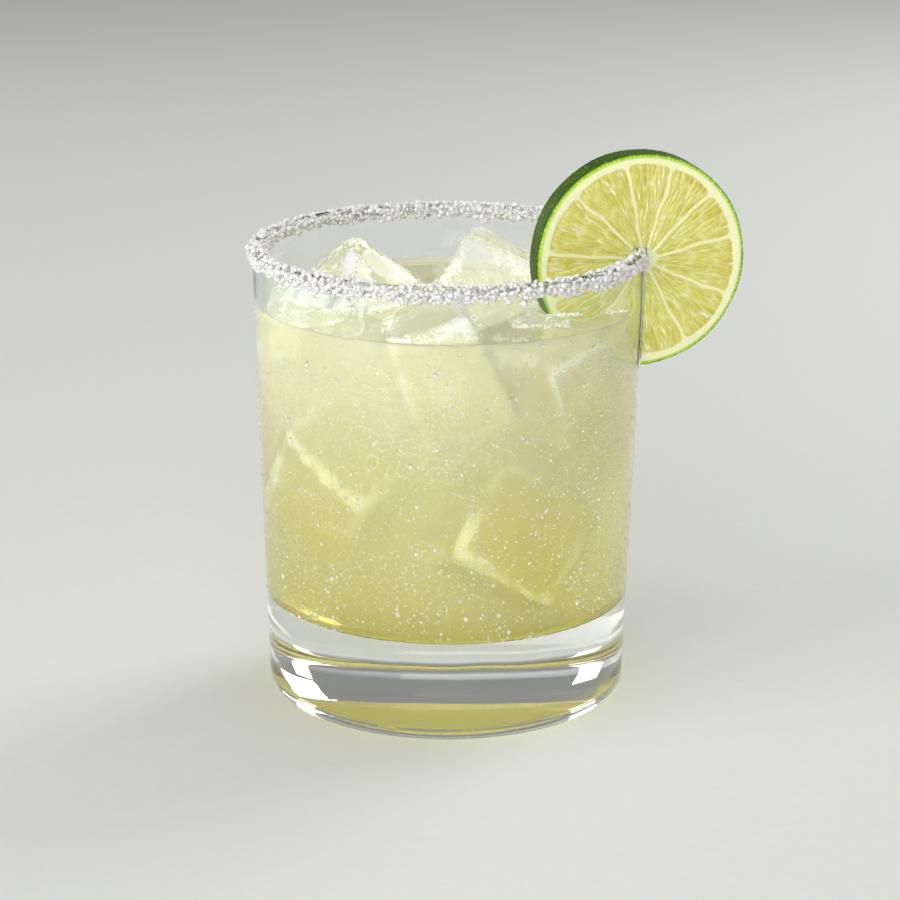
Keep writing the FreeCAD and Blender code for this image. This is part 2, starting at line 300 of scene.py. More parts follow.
ice_colour = add_node(ice_finish, "ShaderNodeMix", {
    "data_type": "RGBA", 6: linear("#FDFEFC"), 7: linear("#FBFBF6")}, {0: frost.outputs[0]})
pits = add_node(ice_finish, "ShaderNodeTexNoise", {"Scale": 1 / PIT, "Detail": 3.0}, {"Vector": place})
ice_bump = add_node(ice_finish, "ShaderNodeBump", {"Strength": 0.3, "Distance": PIT_DEPTH}, {
    "Height": pits.outputs["Fac"]})
for socket, source in (("Roughness", ice_roughness.outputs[0]), ("Transmission Weight", clearness.outputs[0]),
                       ("Base Color", ice_colour.outputs[2]), ("Normal", ice_bump.outputs[0])):
    ice_finish.node_tree.links.new(source, shader.inputs[socket])
lit_through(ice_finish, "#F8FAF8")

cubes = []
for seed, node in enumerate(ICE_NODES, start=1):
    cube = melted("melting_" + node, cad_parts[node].data, seed)
    rest_on_wall(cube.data)
    dress(cube, ice_finish, "ice", node)
    cubes.append(cube)

for seed, (name, (sizes, centre, turns)) in enumerate(SUNK_ICE.items(), start=11):
    mesh = bmesh.new()
    bmesh.ops.create_cube(mesh, size=1.0)
    bmesh.ops.scale(mesh, vec=[v * MM for v in sizes], verts=mesh.verts)
    bmesh.ops.bevel(mesh, geom=mesh.edges[:], offset=CUBE_ROUND, segments=4, profile=0.5, affect="EDGES")
    turn = Euler([math.radians(v) for v in turns], "XYZ").to_matrix().to_4x4()
    bmesh.ops.transform(mesh, matrix=Matrix.Translation([v * MM for v in centre]) @ turn, verts=mesh.verts)
    block = to_object("block", mesh)
    cube = melted(name, block.data, seed)
    rest_on_wall(cube.data)
    bpy.data.objects.remove(block)
    dress(cube, ice_finish, "ice")
    cubes.append(cube)

# ---------------------------------------------------------------------------------------------------------
# Drink: tequila, orange liqueur and fresh lime juice, shaken, so it is pale yellow-green and cloudy with fine
# pulp. It reaches just into the wall, climbs it in a meniscus, and is hollowed out round every cube.
# ---------------------------------------------------------------------------------------------------------
INTO_WALL = 0.12 * MM
INTO_ICE = 0.08 * MM
CORNER = 3.0 * MM
CORNER_STEPS = 12
WALL_STEPS = 40
MENISCUS = 1.0 * MM
MENISCUS_FADE = 0.7 * MM
MENISCUS_REACH = 2.4 * MM
MENISCUS_STEPS = 14
DRINK_TURNS = 256


def lathe(name, outline, turns):
    """A closed mesh from an outline of (radius, height) that starts and ends on the axis."""
    mesh = bmesh.new()
    rings = []
    for radius, height in outline:
        angles = [2.0 * math.pi * step / turns for step in range(turns if radius else 1)]
        rings.append([mesh.verts.new((radius * math.cos(t), radius * math.sin(t), height)) for t in angles])
    for low, high in zip(rings, rings[1:]):
        for step in range(turns):
            after = (step + 1) % turns
            corners = [low[step % len(low)], low[after % len(low)], high[after % len(high)],
                       high[step % len(high)]]
            face = list(dict.fromkeys(corners))
            if len(face) > 2:
                mesh.faces.new(face)
    return to_object(name, mesh)


bottom = FLOOR - INTO_WALL
corner_centre = cavity_radius(FLOOR) + INTO_WALL - CORNER
outline = [(radius * MM, bottom) for radius in (0, 12, 22, 29)]
for step in range(CORNER_STEPS + 1):
    turn = math.radians(90.0 * step / CORNER_STEPS)
    outline.append((corner_centre + CORNER * math.sin(turn), bottom + CORNER * (1 - math.cos(turn))))
for step in range(1, WALL_STEPS + 1):
    height = bottom + CORNER + (LEVEL + MENISCUS - bottom - CORNER) * step / WALL_STEPS
    outline.append((cavity_radius(height) + INTO_WALL, height))
for step in range(1, MENISCUS_STEPS + 1):
    away_from_wall = MENISCUS_REACH * step / MENISCUS_STEPS
    climb = MENISCUS * math.exp(-away_from_wall / MENISCUS_FADE)
    outline.append((cavity_radius(LEVEL) - away_from_wall, LEVEL + climb))
outline += [(radius * MM, LEVEL) for radius in (34, 28, 20, 10, 0)]
drink = lathe("cloudy_drink", outline, DRINK_TURNS)
for cube in cubes:
    hollow = bpy.data.objects.new("hollow", cube.data.copy())
    bpy.context.scene.collection.objects.link(hollow)
    shrunk = vertex_places(hollow.data) - vertex_places(hollow.data, "normal") * INTO_ICE
    hollow.data.vertices.foreach_set("co", shrunk.ravel())
    cut = drink.modifiers.new("cut", "BOOLEAN")
    cut.operation = "DIFFERENCE"
    cut.solver = "MANIFOLD"
    cut.object = hollow
    applied(drink)
    bpy.data.objects.remove(hollow)
drink.data.set_sharp_from_angle(angle=math.radians(40))

# Shaken lime and liqueur: fine pulp scatters the light all through it, so it glows pale yellow-green like
# thin milk. Its colour is deeper yellow at the bottom and painted paler towards the top, as painted light
# from above.
SWIRL = 22 * MM
SWIRL_HEIGHT = 30 * MM
PALER_FROM = 30 * MM
PALEST_AT = 95 * MM
drink_finish, shader = new_material("shaken_margarita_cloudy", {
    "Transmission Weight": 0.86, "IOR": 1.34, "Roughness": 0.0, "Subsurface Weight": 1.0,
    "Subsurface Radius": (1.0, 1.0, 0.6), "Subsurface Scale": 4.0 * MM})
place = add_node(drink_finish, "ShaderNodeTexCoord").outputs["Object"]
apart = add_node(drink_finish, "ShaderNodeSeparateXYZ", {}, {0: place})
swirl = add_node(drink_finish, "ShaderNodeTexNoise", {"Scale": 1 / SWIRL, "Detail": 2.0}, {"Vector": place})
layer = add_node(drink_finish, "ShaderNodeMath", {"operation": "MULTIPLY_ADD", 1: SWIRL_HEIGHT}, {
    0: swirl.outputs["Fac"], 2: apart.outputs["Z"]})
# Painted light: the colour turns paler with height, standing in for light falling from above.
painted_top_light = add_node(drink_finish, "ShaderNodeMapRange", {"From Min": PALER_FROM, "From Max": PALEST_AT}, {
    "Value": layer.outputs[0]})
drink_colour = add_node(drink_finish, "ShaderNodeMix", {
    "data_type": "RGBA", 6: linear("#EADD6A"), 7: linear("#F9F4D8")}, {0: painted_top_light.outputs[0]})
drink_finish.node_tree.links.new(drink_colour.outputs[2], shader.inputs["Base Color"])
cloud = add_node(drink_finish, "ShaderNodeVolumeScatter", {
    "Color": linear("#FFFFFF"), "Density": 50.0, "Anisotropy": 0.35})
depth = add_node(drink_finish, "ShaderNodeVolumeAbsorption", {"Color": linear("#F8EE6A"), "Density": 5.0})
both = add_node(drink_finish, "ShaderNodeAddShader", {}, {0: depth.outputs[0], 1: cloud.outputs[0]})
drink_output = drink_finish.node_tree.nodes["Material Output"]
drink_finish.node_tree.links.new(both.outputs[0], drink_output.inputs["Volume"])
lit_through(drink_finish)
dress(drink, drink_finish, "drink", "drink")

# ---------------------------------------------------------------------------------------------------------
# Lime wheel: a slice across a fresh lime, slit from its heart down through the peel and pushed over the lip.
# Eleven wedges of juice sacs in thin skins, a white core and pith, and a thin green peel full of oil glands.
# ---------------------------------------------------------------------------------------------------------
WHEEL_LOW, WHEEL_HIGH = (Vector(corner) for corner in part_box("lime_wheel"))
WHEEL_RADIUS = 23.0 * MM
WHEEL_HALF = 3.25 * MM
WHEEL_EDGE = 0.6 * MM
WHEEL_TURN = math.radians(14.0)
WHEEL_CENTRE = (WHEEL_LOW + WHEEL_HIGH) / 2
WHEEL_CENTRE.z = WHEEL_HIGH.z - WHEEL_RADIUS
WHEEL_FRONT = Vector((math.sin(WHEEL_TURN), -math.cos(WHEEL_TURN), 0.0))
WHEEL_ACROSS = Vector((math.cos(WHEEL_TURN), math.sin(WHEEL_TURN), 0.0))
# The skins between the wedges, as angles round the core.
SKINS = [math.radians(v) for v in (-158, -128, -95, -62, -25, 13, 45, 74, 102, 136, 173)]
SKIN_WIDTH = 0.32 * MM
CORE_OFFSET = 0.75 * MM
CORE_RADIUS = 2.3 * MM
PEEL_DEPTH = 1.0 * MM
PITH_DEPTH = 1.3 * MM
SACS_ACROSS = 9.0
SAC_LENGTH = 6.0 * MM
STREAKS_ACROSS = 26.0
STREAK_LENGTH = 2.6 * MM
USUAL_WEDGE = 0.55
SWELL = 0.22 * MM
GLANDS_ROUND = 160
GLAND_PITCH = 0.95 * MM
SLIT_GAP = 0.4 * MM
SEAT_GAP = 0.2 * MM


def hashed(column, row, seed):
    """The same random number from 0 to 1 for the same cell."""
    return np.abs(np.modf(np.sin(column * 127.1 + row * 311.7 + seed * 74.7) * 43758.5453)[0])


def cells(across, along, seed):
    """Uneven cells of about unit size: how near a cell's wall a point is (0 on it), and the cell's tone."""
    nearest = np.full(across.shape, 9.0)
    second = np.full(across.shape, 9.0)
    tone = np.zeros(across.shape)
    for step_across in (-1, 0, 1):
        for step_along in (-1, 0, 1):
            column = np.floor(across) + step_across
            row = np.floor(along) + step_along
            heart_across = column + 0.12 + 0.76 * hashed(column, row, seed)
            heart_along = row + 0.12 + 0.76 * hashed(column, row, seed + 1)
            away = np.hypot(heart_across - across, heart_along - along)
            closer = away < nearest
            second = np.where(closer, nearest, np.minimum(second, away))
            tone = np.where(closer, hashed(column, row, seed + 2), tone)
            nearest = np.minimum(nearest, away)
    return second - nearest, tone


def soft_least(a, b, blend):
    """The lesser of two distances, rounded where they meet."""
    near = np.maximum(blend - np.abs(a - b), 0.0) / blend
    return np.minimum(a, b) - near * near * blend / 4


def smooth_step(low, high, value):
    """0 below low, 1 above high, and a smooth slope between."""
    share = np.clip((value - low) / (high - low), 0.0, 1.0)
    return share * share * (3 - 2 * share)


def wheel_pattern(across, up):
    """What the slice shows at points of its face: pulp, the walls of its juice sacs and their tone, peel."""
    out = np.hypot(across, up)
    round_wheel = np.arctan2(up, across)
    from_core = np.hypot(across - CORE_OFFSET, up)
    angle = np.arctan2(up, across - CORE_OFFSET)
    wobble = (0.05 * np.sin(from_core / (3.1 * MM) + 2.0 * angle)
              + 0.03 * np.sin(from_core / (1.3 * MM) + 7 * angle))
    angle = angle + wobble * 0.3
    bounds = np.array([SKINS[-1] - 2 * math.pi] + SKINS + [SKINS[0] + 2 * math.pi])
    wedge = np.clip(np.searchsorted(bounds, angle) - 1, 0, len(bounds) - 2)
    start, end = bounds[wedge], bounds[wedge + 1]
    half_skin = SKIN_WIDTH * (0.30 + 0.45 * hashed(wedge % len(SKINS), 0, 3)) + 0.005 * from_core
    start_side = from_core * np.sin(np.minimum(angle - start, 1.5)) - half_skin
    end_side = from_core * np.sin(np.minimum(end - angle, 1.5)) - half_skin
    pith = PITH_DEPTH * (1.0 + 0.16 * np.sin(3 * round_wheel + 0.6) + 0.07 * np.sin(11 * round_wheel))
    outer_side = WHEEL_RADIUS - PEEL_DEPTH - pith - out
    core = CORE_RADIUS * (1.0 + 0.12 * np.sin(3 * angle + 1.0))
    inside = soft_least(start_side, end_side, 0.5 * MM)
    inside = soft_least(inside, outer_side, 1.3 * MM)
    inside = soft_least(inside, from_core - core, 1.2 * MM)
    white = np.maximum(1 - smooth_step(-0.2 * MM, 0.9 * MM, outer_side),
                       1 - smooth_step(-0.2 * MM, 0.6 * MM, from_core - core))
    share = (angle - start) / (end - start)
    bow = 0.25 * np.sin(from_core / (4.5 * MM) + wedge * 2.1) * from_core / WHEEL_RADIUS
    sac, tone = cells(share * SACS_ACROSS * (end - start) / USUAL_WEDGE + bow + wedge * 31.0,
                      from_core / SAC_LENGTH + 3.0 * hashed(wedge, 1, 5), 11)
    streak, shade = cells(share * STREAKS_ACROSS * (end - start) / USUAL_WEDGE + bow * 3 + wedge * 57.0,
                          from_core / STREAK_LENGTH, 23)
    return {"pulp": smooth_step(-0.05 * MM, 0.28 * MM, inside), "inside": inside, "sac": sac, "tone": tone,
            "streak": streak, "shade": shade, "out": out, "round": round_wheel, "white": white}


def gland(round_wheel, through):
    """Oil glands of the peel: 1 in the middle of a pit, 0 between them."""
    across = round_wheel * GLANDS_ROUND / (2 * math.pi)
    wall, _ = cells(across, through / GLAND_PITCH + 40.0, 31)
    return smooth_step(0.15, 0.6, wall)


# The slice's skin as rings of points: radius, half thickness and count. The rings lie about a quarter of a
# millimetre apart, with a quarter of the points near the core, half further out and all towards the peel.
FULL = 640
ZONE = 5.75
ZONE_RINGS = 23
OUTER_ZONE = 10.9
OUTER_RINGS = 45
EDGE_RINGS = 4
SIDE_RINGS = 8
profile = [(0.0, 1)]
profile += [(step * ZONE / ZONE_RINGS, FULL // 4) for step in range(1, ZONE_RINGS)]
profile += [(ZONE + step * ZONE / ZONE_RINGS, FULL // 2) for step in range(ZONE_RINGS)]
profile += [(2 * ZONE + step * OUTER_ZONE / OUTER_RINGS, FULL) for step in range(OUTER_RINGS)]
mesh_rings = [(radius * MM, WHEEL_HALF, count) for radius, count in profile]
for step in range(EDGE_RINGS):
    turn = math.radians(90.0 * (step + 0.5) / EDGE_RINGS)
    mesh_rings.append((WHEEL_RADIUS - WHEEL_EDGE + WHEEL_EDGE * math.sin(turn),
                       WHEEL_HALF - WHEEL_EDGE + WHEEL_EDGE * math.cos(turn), FULL))
for step in range(1, SIDE_RINGS):
    mesh_rings.append((WHEEL_RADIUS, (WHEEL_HALF - WHEEL_EDGE) * (1 - step / SIDE_RINGS), FULL))
mesh_rings.append((WHEEL_RADIUS, 0.0, FULL))
mesh_rings += [(radius, -depth, count) for radius, depth, count in reversed(mesh_rings[:-1])]

across, up, through, starts = [], [], [], []
for radius, depth, count in mesh_rings:
    starts.append(sum(len(part) for part in across))
    angles = 2 * math.pi * np.arange(count) / count
    across.append(radius * np.cos(angles))
    up.append(radius * np.sin(angles))
    through.append(np.full(count, depth))
across, up, through = (np.concatenate(part) for part in (across, up, through))
pattern = wheel_pattern(across, up)
on_face = smooth_step(WHEEL_HALF - 0.3 * MM, WHEEL_HALF, np.abs(through))
on_peel = smooth_step(WHEEL_RADIUS - PEEL_DEPTH, WHEEL_RADIUS - 0.2 * MM, pattern["out"])
swell = SWELL * smooth_step(0.0, 1.6 * MM, pattern["inside"])
sacs = pattern["pulp"] * (0.20 * MM * smooth_step(0.0, 0.45, pattern["sac"])
                          + 0.07 * MM * smooth_step(0.0, 0.5, pattern["streak"])
                          + 0.12 * MM * (pattern["tone"] - 0.5))
through = through + np.sign(through) * on_face * (swell + sacs - 0.30 * MM * pattern["pulp"])
pits = gland(pattern["round"], through)
shrink = 1.0 - on_peel * (0.10 * MM * (1 - pits) + 0.05 * MM * np.sin(9 * pattern["round"])) / WHEEL_RADIUS
across, up = across * shrink, up * shrink
places = (np.outer(across, WHEEL_ACROSS) + np.outer(up, (0, 0, 1)) + np.outer(through, WHEEL_FRONT)
          + np.array(WHEEL_CENTRE))
faces = []
for (start, ring), (next_start, next_ring) in zip(zip(starts, mesh_rings), zip(starts[1:], mesh_rings[1:])):
    few, many = sorted((ring[2], next_ring[2]))
    for step in range(many):
        a = start + step * ring[2] // many
        b = start + (step + 1) * ring[2] // many % ring[2]
        c = next_start + (step + 1) * next_ring[2] // many % next_ring[2]
        d = next_start + step * next_ring[2] // many
        faces.append([corner for at, corner in enumerate((a, b, c, d)) if corner not in (a, b, c, d)[:at]])
data = bpy.data.meshes.new("lime_slice")
data.from_pydata(places.tolist(), [], faces)
data.update()
wheel = bpy.data.objects.new("lime_slice", data)
bpy.context.scene.collection.objects.link(wheel)

# The slit: a sleeve that leans as the wall does, a gap wider on each side, is cut out of the slice.
slit_low = WHEEL_LOW.z - 5 * MM
slit_high = GLASS_HEIGHT + SEAT_GAP
slit_outline = [(side_radius(slit_low) + SLIT_GAP, slit_low),
                (side_radius(slit_high) + SLIT_GAP, slit_high),
                (cavity_radius(slit_high) - SLIT_GAP, slit_high),
                (cavity_radius(slit_low) - SLIT_GAP, slit_low)]
mesh = bmesh.new()
slit_rings = [[mesh.verts.new((r * math.cos(t), r * math.sin(t), z))
               for t in (2 * math.pi * step / DRINK_TURNS for step in range(DRINK_TURNS))]
              for r, z in slit_outline]
for low, high in zip(slit_rings, slit_rings[1:] + slit_rings[:1]):
    for step in range(DRINK_TURNS):
        mesh.faces.new((low[step - 1], low[step], high[step], high[step - 1]))
sleeve = to_object("sleeve", mesh)
cut = wheel.modifiers.new("slit", "BOOLEAN")
cut.operation = "DIFFERENCE"
cut.solver = "MANIFOLD"
cut.object = sleeve
applied(wheel)
bpy.data.objects.remove(sleeve)
wheel.data.polygons.foreach_set("use_smooth", [True] * len(wheel.data.polygons))
wheel.data.set_sharp_from_angle(angle=math.radians(60))

# What each point of the cut slice is, kept for the material.
from_centre = vertex_places(wheel.data) - np.array(WHEEL_CENTRE)
across = from_centre @ np.array(WHEEL_ACROSS)
up = from_centre[:, 2]
through = from_centre @ np.array(WHEEL_FRONT)
pattern = wheel_pattern(across, up)
pits = gland(pattern["round"], through)
store(wheel.data, "pulp", pattern["pulp"])
store(wheel.data, "sac_wall", 1 - smooth_step(0.03, 0.30, pattern["sac"]))
store(wheel.data, "streak", 1 - smooth_step(0.04, 0.40, pattern["streak"]))
store(wheel.data, "tone", 0.6 * pattern["tone"] + 0.4 * pattern["shade"])
store(wheel.data, "peel", smooth_step(WHEEL_RADIUS - PEEL_DEPTH * (1.15 + 0.25 * (pits - 0.5)),
                                      WHEEL_RADIUS - 0.7 * PEEL_DEPTH, pattern["out"]))
store(wheel.data, "skin", smooth_step(WHEEL_RADIUS - 0.45 * MM, WHEEL_RADIUS - 0.12 * MM, pattern["out"]))
store(wheel.data, "gland", pits)
store(wheel.data, "white", pattern["white"])
# Painted highlight: near-white flecks on the pulp, partly pale fibres and partly painted glints standing in
# for the wet sacs' reflections.
store(wheel.data, "painted_glint_and_fibre", pattern["pulp"] * smooth_step(0.86, 0.93, pattern["shade"])
      * smooth_step(0.25, 0.6, pattern["streak"]))
store(wheel.data, "outward", np.clip(pattern["out"] / WHEEL_RADIUS, 0, 1))

# Fresh lime, cut wet: pulp that glows when lit from behind, matt white pith, waxy pitted peel.
lime_finish, shader = new_material("fresh_lime_cut", {
    "Subsurface Weight": 0.65, "Subsurface Radius": (1.0, 1.05, 0.35), "Subsurface Scale": 2.2 * MM,
    "IOR": 1.38, "Specular IOR Level": 0.35})
place = add_node(lime_finish, "ShaderNodeTexCoord").outputs["Object"]
masks = {name: add_node(lime_finish, "ShaderNodeAttribute", {"attribute_name": name}).outputs["Fac"]
         for name in ("pulp", "sac_wall", "streak", "tone", "peel", "skin", "gland", "outward", "white",
                      "painted_glint_and_fibre")}
juice = add_node(lime_finish, "ShaderNodeMix", {
    "data_type": "RGBA", 6: linear("#BFBC3A"), 7: linear("#DEDB7A")}, {0: masks["tone"]})
ripe = add_node(lime_finish, "ShaderNodeMapRange", {"From Min": 0.62, "From Max": 0.92, "To Max": 0.35}, {
    "Value": masks["outward"]})
golden = add_node(lime_finish, "ShaderNodeMix", {"data_type": "RGBA", 7: linear("#D2BC4C")}, {
    0: ripe.outputs[0], 6: juice.outputs[2]})
wall_share = add_node(lime_finish, "ShaderNodeMath", {"operation": "MULTIPLY", 1: 0.5}, {
    0: masks["sac_wall"]})
walled = add_node(lime_finish, "ShaderNodeMix", {"data_type": "RGBA", 7: linear("#F4F3BC")}, {
    0: wall_share.outputs[0], 6: golden.outputs[2]})
streak_share = add_node(lime_finish, "ShaderNodeMath", {"operation": "MULTIPLY", 1: 0.35}, {
    0: masks["streak"]})
streaked = add_node(lime_finish, "ShaderNodeMix", {"data_type": "RGBA", 7: linear("#F2F0AE")}, {
    0: streak_share.outputs[0], 6: walled.outputs[2]})
pith_grain = add_node(lime_finish, "ShaderNodeTexNoise", {"Scale": 1 / (0.5 * MM), "Detail": 3.0}, {
    "Vector": place})
pith = add_node(lime_finish, "ShaderNodeMix", {
    "data_type": "RGBA", 6: linear("#EDECBC"), 7: linear("#F8F7D6")}, {0: pith_grain.outputs["Fac"]})
skins = add_node(lime_finish, "ShaderNodeMix", {"data_type": "RGBA", 6: linear("#F3F1BA")}, {
    0: masks["white"], 7: pith.outputs[2]})
# Painted highlight: the pulp turns near white where the glint and fibre mask is set, partly fibres, partly
# painted glints.
pulp_with_painted_glints = add_node(lime_finish, "ShaderNodeMix", {"data_type": "RGBA", 7: linear("#FEFEE6")}, {
    0: masks["painted_glint_and_fibre"], 6: streaked.outputs[2]})
flesh = add_node(lime_finish, "ShaderNodeMix", {"data_type": "RGBA"}, {
    0: masks["pulp"], 6: skins.outputs[2], 7: pulp_with_painted_glints.outputs[2]})
cut_peel = add_node(lime_finish, "ShaderNodeMix", {
    "data_type": "RGBA", 6: linear("#8CC01C"), 7: linear("#C6E04E")}, {0: masks["gland"]})
with_peel = add_node(lime_finish, "ShaderNodeMix", {"data_type": "RGBA"}, {
    0: masks["peel"], 6: flesh.outputs[2], 7: cut_peel.outputs[2]})
green_patches = add_node(lime_finish, "ShaderNodeTexNoise", {"Scale": 1 / (7 * MM), "Detail": 3.0}, {
    "Vector": place})
# Painted shade: the peel's own dark green is darkened further to stand in for the shade on the peel; the
# patches are its uneven colour.
green = add_node(lime_finish, "ShaderNodeMix", {
    "data_type": "RGBA", 6: linear("#1F3702"), 7: linear("#426607")}, {0: green_patches.outputs["Fac"]})
pore_share = add_node(lime_finish, "ShaderNodeMapRange", {"From Min": 0.55, "From Max": 1.0, "To Max": 0.6}, {
    "Value": masks["gland"]})
pored = add_node(lime_finish, "ShaderNodeMix", {"data_type": "RGBA", 7: linear("#8FB52C")}, {
    0: pore_share.outputs[0], 6: green.outputs[2]})
coloured = add_node(lime_finish, "ShaderNodeMix", {"data_type": "RGBA"}, {
    0: masks["skin"], 6: with_peel.outputs[2], 7: pored.outputs[2]})
wetness = add_node(lime_finish, "ShaderNodeMapRange", {"To Min": 0.55, "To Max": 0.16}, {
    "Value": masks["pulp"]})
waxy = add_node(lime_finish, "ShaderNodeMix", {"data_type": "FLOAT", 3: 0.48}, {
    0: masks["skin"], 2: wetness.outputs[0]})
fibres = add_node(lime_finish, "ShaderNodeTexNoise", {"Scale": 1 / (0.35 * MM), "Detail": 2.0}, {
    "Vector": place})
lime_bump = add_node(lime_finish, "ShaderNodeBump", {"Strength": 0.35, "Distance": 0.06 * MM}, {
    "Height": fibres.outputs["Fac"]})
for socket, source in (("Base Color", coloured.outputs[2]), ("Roughness", waxy.outputs[0]),
                       ("Normal", lime_bump.outputs[0])):
    lime_finish.node_tree.links.new(source, shader.inputs[socket])
dress(wheel, lime_finish, "lime", "lime_wheel")

# ---------------------------------------------------------------------------------------------------------
# Salt: coarse crystals that stick to the wetted lip, two or three deep outside and inside and thinner on the
# very top, with ragged clumps hanging below. Each crystal is its own small worn lump.
# ---------------------------------------------------------------------------------------------------------
GRAIN = 0.47 * MM
GRAINS = 3700
BAND_OUTSIDE = 3.1 * MM
BAND_INSIDE = 2.6 * MM
BAND_STARTS = 0.7 * MM
CRUST_DEPTH = 0.9 * MM


def scatter(name, template, faces, centres, frames, sizes):
    """One mesh of many copies of a small shape, each with its own centre, frame of axes and size."""
    places = np.einsum("nij,nvj->nvi", frames, template * sizes[:, None, :]) + centres[:, None, :]
    count, each = places.shape[:2]
    joined = (faces[None, :, :] + each * np.arange(count)[:, None, None]).reshape(-1, faces.shape[1])
    data = bpy.data.meshes.new(name)
    data.from_pydata(places.reshape(-1, 3).tolist(), [], joined.tolist())
    data.polygons.foreach_set("use_smooth", [True] * len(data.polygons))
    piece = bpy.data.objects.new(name, data)
    bpy.context.scene.collection.objects.link(piece)
    return piece


def lump():
    """The corners and triangles of an icosahedron of unit radius."""
    mesh = bmesh.new()
    bmesh.ops.create_icosphere(mesh, subdivisions=1, radius=1.0)
    corners = np.array([vertex.co[:] for vertex in mesh.verts])
    triangles = np.array([[vertex.index for vertex in face.verts] for face in mesh.faces])
    mesh.free()
    return corners, triangles


def random_turns(rng, count):
    """A random frame of axes for each of many pieces."""
    frames, _ = np.linalg.qr(rng.normal(size=(count, 3, 3)))
    frames[:, :, 0] *= np.sign(np.linalg.det(frames))[:, None]
    return frames


rng = np.random.default_rng(7)
centres, sizes = [], []
while len(centres) < GRAINS:
    around = rng.uniform(0, 2 * math.pi)
    ring = Vector((math.cos(around), math.sin(around), 0.0))
    clump = noise.noise(ring * 9.0 + Vector((0, 0, 5))) + 0.6 * noise.noise(ring * 26.0)
    radius = GRAIN * float(np.clip(rng.lognormal(0.0, 0.25), 0.55, 1.6))
    band = rng.uniform()
    if band < 0.45:
        side, length = 1, BAND_OUTSIDE * (0.80 + 0.45 * clump)
    elif band < 0.78:
        side, length = -1, BAND_INSIDE * (0.80 + 0.55 * noise.noise(ring * 8.0 + Vector((3, 0, 0)))
                                          + 0.25 * noise.noise(ring * 30.0))
    else:
        side, length = 0, 0.0
    layer = rng.uniform() ** 1.7 * (1.0 if clump > -0.1 else 0.45)
    if side:
        down = BAND_STARTS + rng.uniform() * length
        height = GLASS_HEIGHT - down
        wall = side_radius(height) if side == 1 else cavity_radius(height)
        stand = radius * 0.35 + layer * CRUST_DEPTH * (1.0 - 0.6 * down / (length + 1 * MM))
        centre = ring * (wall + side * stand) + Vector((0, 0, height))
    else:
        if clump < rng.uniform(-0.8, 0.1):
            continue
        lean_over = rng.uniform(-1.2, 1.2)
        lip = Vector((math.sin(lean_over), 0, math.cos(lean_over))) * (WALL / 2 + radius * 0.3)
        centre = ring * (RIM_RADIUS - WALL / 2 + lip.x) + Vector((0, 0, GLASS_HEIGHT - WALL / 2 + lip.z))
    if abs((centre - WHEEL_CENTRE).dot(WHEEL_FRONT)) < WHEEL_HALF + 0.5 * radius and centre.x > 0:
        continue
    centres.append(centre[:])
    sizes.append(radius)
corners, triangles = lump()
centres, sizes = np.array(centres), np.array(sizes)
knobs = 1.0 + rng.uniform(-0.10, 0.10, size=(len(centres), len(corners), 1))
stretch = rng.uniform(0.78, 1.22, size=(len(centres), 3)) * sizes[:, None]
salt = scatter("salt_crystals", corners[None, :, :] * knobs, triangles, centres,
               random_turns(rng, len(centres)), stretch)

# Coarse salt: white crystals, faintly see-through, with soft glints from their worn faces.
salt_finish, shader = new_material("coarse_salt_crystals", {
    "Base Color": linear("#EEECEB"), "IOR": 1.54,
    "Subsurface Weight": 0.6, "Subsurface Radius": (1.0, 1.0, 1.0), "Subsurface Scale": 0.6 * MM})
place = add_node(salt_finish, "ShaderNodeTexCoord").outputs["Object"]
worn = add_node(salt_finish, "ShaderNodeTexNoise", {
    "Scale": 1 / (0.4 * MM), "Detail": 3.0}, {"Vector": place})
salt_roughness = add_node(salt_finish, "ShaderNodeMapRange", {"To Min": 0.15, "To Max": 0.55}, {
    "Value": worn.outputs["Fac"]})
salt_bump = add_node(salt_finish, "ShaderNodeBump", {"Strength": 0.15, "Distance": 0.08 * MM}, {
    "Height": worn.outputs["Fac"]})
salt_finish.node_tree.links.new(salt_roughness.outputs[0], shader.inputs["Roughness"])
salt_finish.node_tree.links.new(salt_bump.outputs[0], shader.inputs["Normal"])
dress(salt, salt_finish, "salt", "salt_rim")

# ---------------------------------------------------------------------------------------------------------
# Air: bubbles frozen into the skin of the cubes where the water froze last, and froth left by the shaker
# where the drink meets the ice and the lime. Small shells of air, seen as bright specks.
# ---------------------------------------------------------------------------------------------------------
BUBBLE = 0.19 * MM
BUBBLE_TRIES = 2000
BUBBLE_ZONE = 1.6 * MM
LOW_CORNER = 9 * MM
FROTH = 0.26 * MM
FROTH_TRIES = 2600
FROTH_BY_LIME = 900
centres, sizes = [], []
for cube in cubes:
    spots = vertex_places(cube.data)
    inward = vertex_places(cube.data, "normal")
    nearness = np.empty(len(cube.data.vertices), dtype=np.float32)
    cube.data.attributes["edge"].data.foreach_get("value", nearness)
    low = np.clip(1.0 - (spots[:, 2] - spots[:, 2].min()) / LOW_CORNER, 0.0, 1.0)
    likely = 0.15 + nearness ** 2 * (1.0 + 4.0 * low)
    picks = rng.choice(len(spots), size=BUBBLE_TRIES, p=likely / likely.sum())
    for pick in picks:
        spot = Vector(spots[pick])
        patch = noise.noise(spot / (7 * MM)) + 0.5 * noise.noise(spot / (2.5 * MM))
        if patch + 0.5 * nearness[pick] < rng.uniform(0.1, 0.6):
            continue
        radius = BUBBLE * float(np.clip(rng.lognormal(0.0, 0.35), 0.5, 2.2))
        depth_in = radius + rng.uniform(0.05 * MM, BUBBLE_ZONE)
        centres.append(spots[pick] - inward[pick] * depth_in)
        sizes.append(radius)
froth_line = []
for cube in cubes:
    spots = vertex_places(cube.data)
    froth_line += list(spots[np.abs(spots[:, 2] - LEVEL) < 0.4 * MM])
